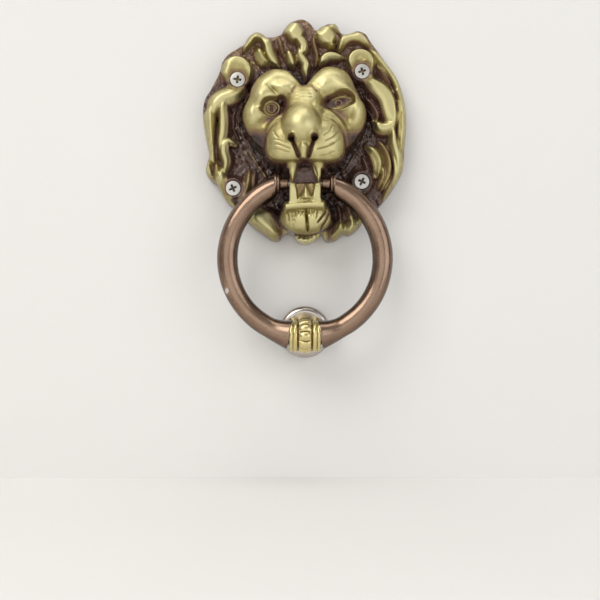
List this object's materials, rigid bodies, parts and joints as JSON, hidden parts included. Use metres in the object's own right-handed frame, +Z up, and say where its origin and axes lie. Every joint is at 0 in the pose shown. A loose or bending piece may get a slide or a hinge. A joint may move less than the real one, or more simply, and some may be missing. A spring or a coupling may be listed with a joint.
{
  "type": "door knocker",
  "caption": "Cast lion-head door knocker with a swinging ring in its jaw, a fluted band on the ring and a round striker button below, screwed to a door.",
  "frame": {"origin": "on the door's face behind the middle of the mask", "axes": "+Z up, the lion looks along -Y, +X to the viewer's right, +Y into the door"},
  "size_m": [0.0991, 0.0603, 0.164],
  "materials": {
    "mask_casting": "satin brushed pale brass on the high places, dark red-brown lacquer in the recesses",
    "ring_casting": "glossy copper-brown lacquer",
    "band_brass": "polished pale brass, dark in the grooves",
    "striker_metal": "brown lacquer with a bright polished rim",
    "screw_steel": "nickel-plated steel",
    "pin_steel": "plain steel"
  },
  "bodies": {
    "mask": {"lion_mask": "mask_casting", "mask_screws": "screw_steel", "striker_button": "striker_metal", "striker_stud": "screw_steel"},
    "ring": {"left_ring_arm": "ring_casting", "right_ring_arm": "ring_casting", "ring_band": "band_brass", "ring_dowel": "pin_steel", "pivot_pin": "pin_steel"}
  },
  "joints": [
    {"name": "ring_swing", "type": "hinge", "parent": "mask", "child": "ring", "pos_m": [0, -0.018, -0.0266], "axis": [-1, 0, 0], "range_deg": [0, 165]}
  ]
}
